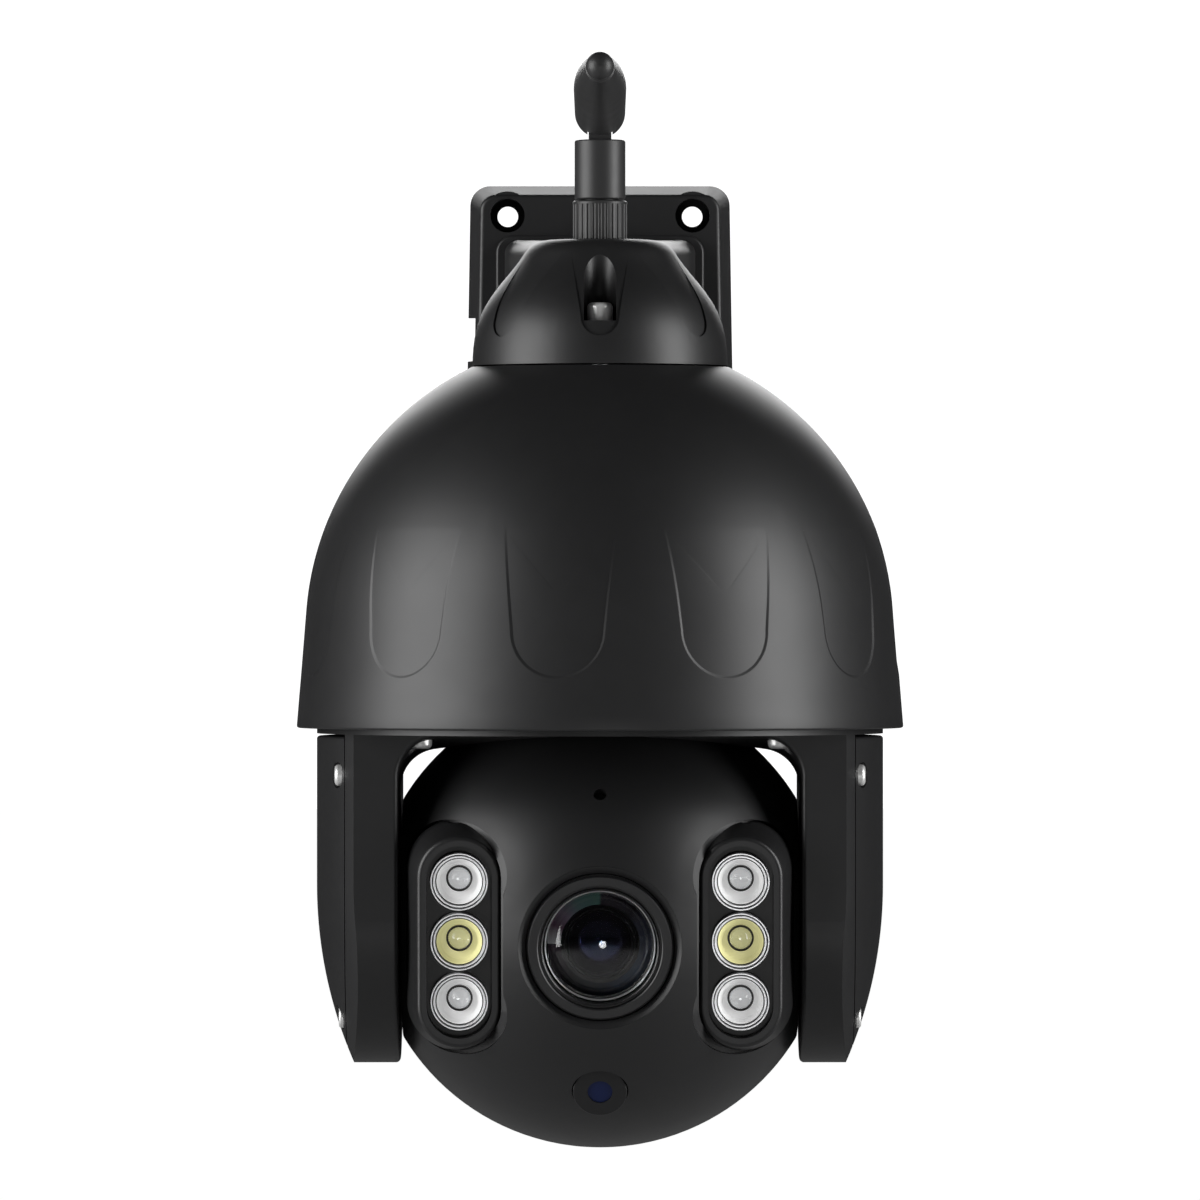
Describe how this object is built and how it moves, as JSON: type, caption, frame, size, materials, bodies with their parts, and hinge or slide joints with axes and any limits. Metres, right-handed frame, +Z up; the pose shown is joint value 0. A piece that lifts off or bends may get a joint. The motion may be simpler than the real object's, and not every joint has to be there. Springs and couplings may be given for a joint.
{
  "type": "security camera",
  "caption": "Wall-mounted pan-and-tilt dome security camera: bracket, domed housing, turning fork, ball with zoom lens and lamp pods, and a folding antenna.",
  "frame": {"origin": "centre of the four wall screws, on the wall", "axes": "+Z up; +Y into the wall, so the camera looks along -Y; +X to the right of someone facing the camera"},
  "size_m": [0.155, 0.2097, 0.2753],
  "materials": {
    "painted_casting": "satin charcoal powder coat",
    "satin_plastic": "satin charcoal",
    "black_plastic": "matt black",
    "antenna_plastic": "satin black",
    "rubber_seal": "matt",
    "bright_steel": "bright",
    "bearing_steel": "polished",
    "motor_steel": "plated",
    "cast_aluminium": "as cast",
    "brass_jack": "plated",
    "circuit_board": "solder mask",
    "clear_lens": "clear",
    "warm_lens": "clear with a yellow tint",
    "reflector": "mirror",
    "coated_glass": "multi-coated",
    "blue_filter": "gloss"
  },
  "bodies": {
    "bracket": {"wall_bracket": "painted_casting", "cable_grommet": "rubber_seal", "neck_seal": "rubber_seal", "neck_screws": "bright_steel", "dome_shell": "painted_casting", "base_plate": "cast_aluminium", "base_plate_screws": "bright_steel", "bearing_outer_ring": "bearing_steel", "pan_motor": "motor_steel", "pan_motor_screws": "bright_steel", "slip_ring_stator": "black_plastic", "main_board": "circuit_board", "board_posts": "bright_steel", "antenna_jack": "brass_jack", "antenna_nut": "antenna_plastic"},
    "yoke": {"fork": "painted_casting", "fork_screws": "bright_steel", "pan_hub": "cast_aluminium", "pan_gear": "black_plastic", "bearing_inner_ring": "bearing_steel", "bearing_balls": "bearing_steel", "bearing_locknut": "bearing_steel", "slip_ring_rotor": "black_plastic", "arm_cover_left": "painted_casting", "arm_cover_right": "painted_casting", "cover_screws": "bright_steel", "tilt_bushes": "black_plastic", "tilt_motor": "motor_steel", "tilt_motor_plate": "bright_steel"},
    "pan_drive": {"pan_pinion": "bearing_steel"},
    "tilt_drive": {"tilt_pinion": "bearing_steel"},
    "ball": {"ball_front_shell": "satin_plastic", "ball_rear_shell": "satin_plastic", "ball_seal": "rubber_seal", "ball_screws": "bright_steel", "tilt_gear": "black_plastic", "hub_clips": "bright_steel", "tilt_hub_left": "black_plastic", "tilt_hub_right": "black_plastic", "lens_bezel": "black_plastic", "window_glass": "coated_glass", "lens_barrel": "black_plastic", "front_element": "coated_glass", "lens_baffle": "black_plastic", "rear_element": "coated_glass", "sensor_board": "circuit_board", "camera_board": "circuit_board", "led_pods": "satin_plastic", "led_cups": "reflector", "led_lenses_white": "clear_lens", "led_lenses_warm": "warm_lens", "led_boards": "circuit_board", "light_sensor_body": "black_plastic", "light_sensor_eye": "blue_filter", "microphone": "black_plastic"},
    "zoom_group": {"zoom_carriage": "black_plastic", "zoom_element": "coated_glass"},
    "antenna_swivel": {"antenna_base": "antenna_plastic", "antenna_pin": "bright_steel"},
    "antenna": {"antenna_rod": "antenna_plastic"}
  },
  "joints": [
    {"name": "pan", "type": "hinge", "parent": "bracket", "child": "yoke", "pos_m": [0, -0.11, -0.08], "axis": [0, 0, 1], "continuous": true},
    {"name": "pan_motor_spin", "type": "hinge", "parent": "bracket", "child": "pan_drive", "pos_m": [0, -0.0575, -0.08], "axis": [0, 0, 1], "continuous": true},
    {"name": "tilt", "type": "hinge", "parent": "yoke", "child": "ball", "pos_m": [0, -0.11, -0.1503], "axis": [1, 0, 0], "range_deg": [-6.3, 83.7]},
    {"name": "tilt_motor_spin", "type": "hinge", "parent": "yoke", "child": "tilt_drive", "pos_m": [-0.056, -0.11, -0.1215], "axis": [1, 0, 0], "range_deg": [-420, 35]},
    {"name": "zoom", "type": "slide", "parent": "ball", "child": "zoom_group", "axis": [0, -0.994, -0.1097], "range_m": [-0.003, 0.008]},
    {"name": "antenna_turn", "type": "hinge", "parent": "bracket", "child": "antenna_swivel", "pos_m": [0, -0.11, 0.04], "axis": [0, 0, 1], "continuous": true},
    {"name": "antenna_fold", "type": "hinge", "parent": "antenna_swivel", "child": "antenna", "pos_m": [0, -0.11, 0.0553], "axis": [1, 0, 0], "range_deg": [-85.8, 4.2]}
  ],
  "couplings": [
    {"joint": "pan_motor_spin", "follows": "pan", "ratio": -6},
    {"joint": "tilt_motor_spin", "follows": "tilt", "ratio": -5}
  ]
}
